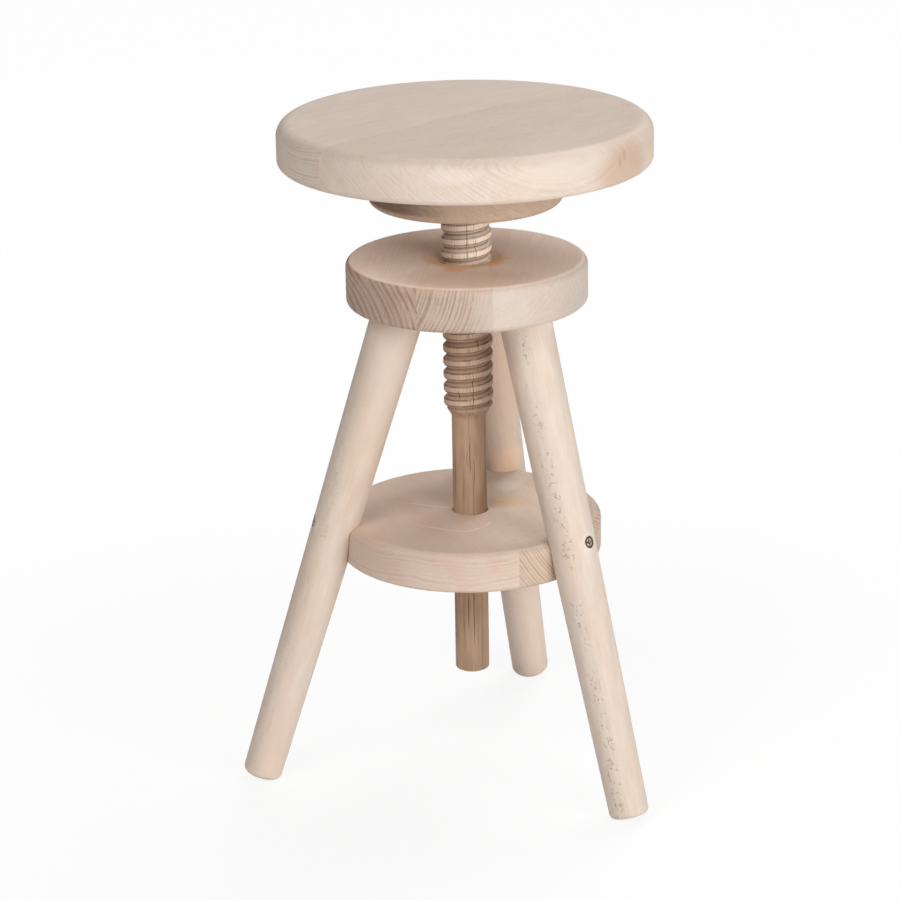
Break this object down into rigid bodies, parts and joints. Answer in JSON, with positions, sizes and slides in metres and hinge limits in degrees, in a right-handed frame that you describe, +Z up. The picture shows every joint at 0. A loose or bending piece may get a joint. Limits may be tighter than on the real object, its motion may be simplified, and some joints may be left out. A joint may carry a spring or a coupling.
{
  "type": "wooden screw stool",
  "caption": "Round wooden stool seat on a threaded wooden spindle, held by a threaded disc and three splayed legs tied by a second disc; turning the seat sets its height.",
  "frame": {"origin": "on the floor, on the axis of the spindle", "axes": "+Z up along the spindle's axis; -Y towards the viewer, with one leg on the left, one on the right in front and one behind"},
  "size_m": [0.3762, 0.3733, 0.6068],
  "materials": {
    "pale_wood": "sanded, unvarnished pale hardwood",
    "brown_wood": "turned hardwood, slightly darker, with small drying cracks",
    "screw_steel": "browned steel, dull"
  },
  "bodies": {
    "stand": {"upper_board_left": "pale_wood", "upper_board_middle": "pale_wood", "upper_board_right": "pale_wood", "lower_board_left": "pale_wood", "lower_board_right": "pale_wood", "leg_left": "pale_wood", "leg_right": "pale_wood", "leg_back": "pale_wood", "leg_screws": "screw_steel"},
    "lift": {"spindle_screw": "screw_steel"},
    "seat": {"seat_board_front": "pale_wood", "seat_board_rear": "pale_wood", "seat_plate": "pale_wood", "plate_screws": "screw_steel", "spindle": "brown_wood"}
  },
  "joints": [
    {"name": "seat_height", "type": "slide", "parent": "stand", "child": "lift", "axis": [0, 0, 1], "range_m": [-0.0497, 0.0869]},
    {"name": "seat_turn", "type": "hinge", "parent": "lift", "child": "seat", "pos_m": [0, 0, 0.45], "axis": [0, 0, 1], "range_deg": [-1440, 2520]}
  ],
  "couplings": [
    {"joint": "seat_height", "follows": "seat_turn", "m_per_rad": 0.0019735}
  ]
}
